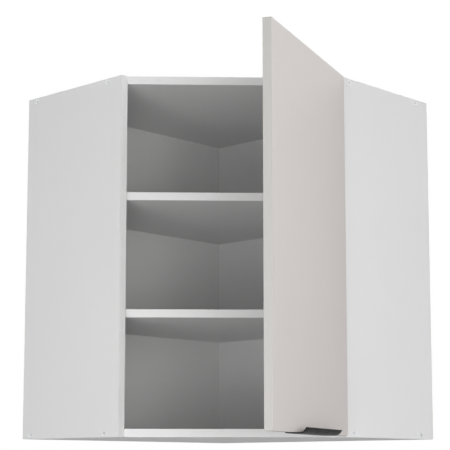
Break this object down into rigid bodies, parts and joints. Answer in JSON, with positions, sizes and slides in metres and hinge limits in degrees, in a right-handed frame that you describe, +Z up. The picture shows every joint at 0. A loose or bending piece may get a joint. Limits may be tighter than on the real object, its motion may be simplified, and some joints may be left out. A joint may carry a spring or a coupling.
{
  "type": "corner wall cabinet",
  "caption": "Diagonal-front corner wall cabinet with open shelving behind one hinged door, an edge pull and hangers for a wall rail.",
  "frame": {"origin": "foot of the room corner the cabinet fits into, in the plane of its underside", "axes": "+Z up; the right wall runs along +X and the left wall along -Y, so the diagonal front faces +X -Y"},
  "size_m": [0.7568, 0.6857, 0.716],
  "materials": {
    "white_board": "white melamine-faced board, fine matte texture",
    "door_board": "greige laminate, smooth matte",
    "white_hardboard": "white-faced hardboard",
    "black_metal": "black powder coat, fine matte",
    "nickel": "nickel-plated steel, satin",
    "zinc": "zinc-plated steel, satin",
    "white_plastic": "moulded white plastic, fine matte",
    "clear_rubber": "translucent silicone"
  },
  "bodies": {
    "carcass": {"left_side_panel": "white_board", "right_side_panel": "white_board", "bottom_panel": "white_board", "top_panel": "white_board", "back_board": "white_board", "hardboard_back": "white_hardboard", "lower_shelf": "white_board", "upper_shelf": "white_board", "left_bottom_wall_screw": "zinc", "left_bottom_front_screw": "zinc", "left_top_wall_screw": "zinc", "left_top_front_screw": "zinc", "right_bottom_wall_screw": "zinc", "right_bottom_front_screw": "zinc", "right_top_wall_screw": "zinc", "right_top_front_screw": "zinc", "back_top_screw_1": "zinc", "back_bottom_screw_1": "zinc", "back_top_screw_2": "zinc", "back_bottom_screw_2": "zinc", "lower_shelf_left_wall_peg": "zinc", "lower_shelf_right_wall_peg": "zinc", "lower_shelf_left_front_peg": "zinc", "lower_shelf_right_front_peg": "zinc", "lower_shelf_back_peg": "zinc", "upper_shelf_left_wall_peg": "zinc", "upper_shelf_right_wall_peg": "zinc", "upper_shelf_left_front_peg": "zinc", "upper_shelf_right_front_peg": "zinc", "upper_shelf_back_peg": "zinc", "left_hanger_case": "white_plastic", "left_hanger_hook": "zinc", "left_hanger_screw_1": "zinc", "left_hanger_screw_2": "zinc", "right_hanger_case": "white_plastic", "right_hanger_hook": "zinc", "right_hanger_screw_1": "zinc", "right_hanger_screw_2": "zinc", "lower_hinge_arm": "nickel", "lower_hinge_plate": "nickel", "lower_hinge_plate_lower_screw": "zinc", "lower_hinge_plate_upper_screw": "zinc", "upper_hinge_arm": "nickel", "upper_hinge_plate": "nickel", "upper_hinge_plate_lower_screw": "zinc", "upper_hinge_plate_upper_screw": "zinc"},
    "door": {"door_panel": "door_board", "edge_pull": "black_metal", "lower_hinge_cup": "nickel", "upper_hinge_cup": "nickel", "lower_door_bumper": "clear_rubber", "upper_door_bumper": "clear_rubber"},
    "inner_cranks": {"lower_hinge_inner_crank": "nickel", "upper_hinge_inner_crank": "nickel"},
    "outer_cranks": {"lower_hinge_outer_crank": "nickel", "upper_hinge_outer_crank": "nickel"},
    "near_bars": {"lower_hinge_near_bar": "nickel", "upper_hinge_near_bar": "nickel"},
    "far_bars": {"lower_hinge_far_bar": "nickel", "upper_hinge_far_bar": "nickel"}
  },
  "joints": [
    {"name": "door_hinge", "type": "hinge", "parent": "carcass", "child": "door", "pos_m": [0.595, -0.2895, 0.358], "axis": [0, 0, 1], "range_deg": [-66, 29]},
    {"name": "inner_crank_pivot", "type": "hinge", "parent": "carcass", "child": "inner_cranks", "pos_m": [0.5665, -0.2895, 0.358], "axis": [0, 0, 1], "range_deg": [-66, 29]},
    {"name": "outer_crank_pivot", "type": "hinge", "parent": "carcass", "child": "outer_cranks", "pos_m": [0.5765, -0.2895, 0.358], "axis": [0, 0, 1], "range_deg": [-66, 29]},
    {"name": "near_bar_pin", "type": "hinge", "parent": "inner_cranks", "child": "near_bars", "pos_m": [0.57529, -0.31608, 0.358], "axis": [0, 0, 1], "range_deg": [-29, 66]},
    {"name": "far_bar_pin", "type": "hinge", "parent": "inner_cranks", "child": "far_bars", "pos_m": [0.57843, -0.32558, 0.358], "axis": [0, 0, 1], "range_deg": [-29, 66]}
  ],
  "couplings": [
    {"joint": "inner_crank_pivot", "follows": "door_hinge", "ratio": 1},
    {"joint": "outer_crank_pivot", "follows": "door_hinge", "ratio": 1},
    {"joint": "near_bar_pin", "follows": "door_hinge", "ratio": -1},
    {"joint": "far_bar_pin", "follows": "door_hinge", "ratio": -1}
  ]
}
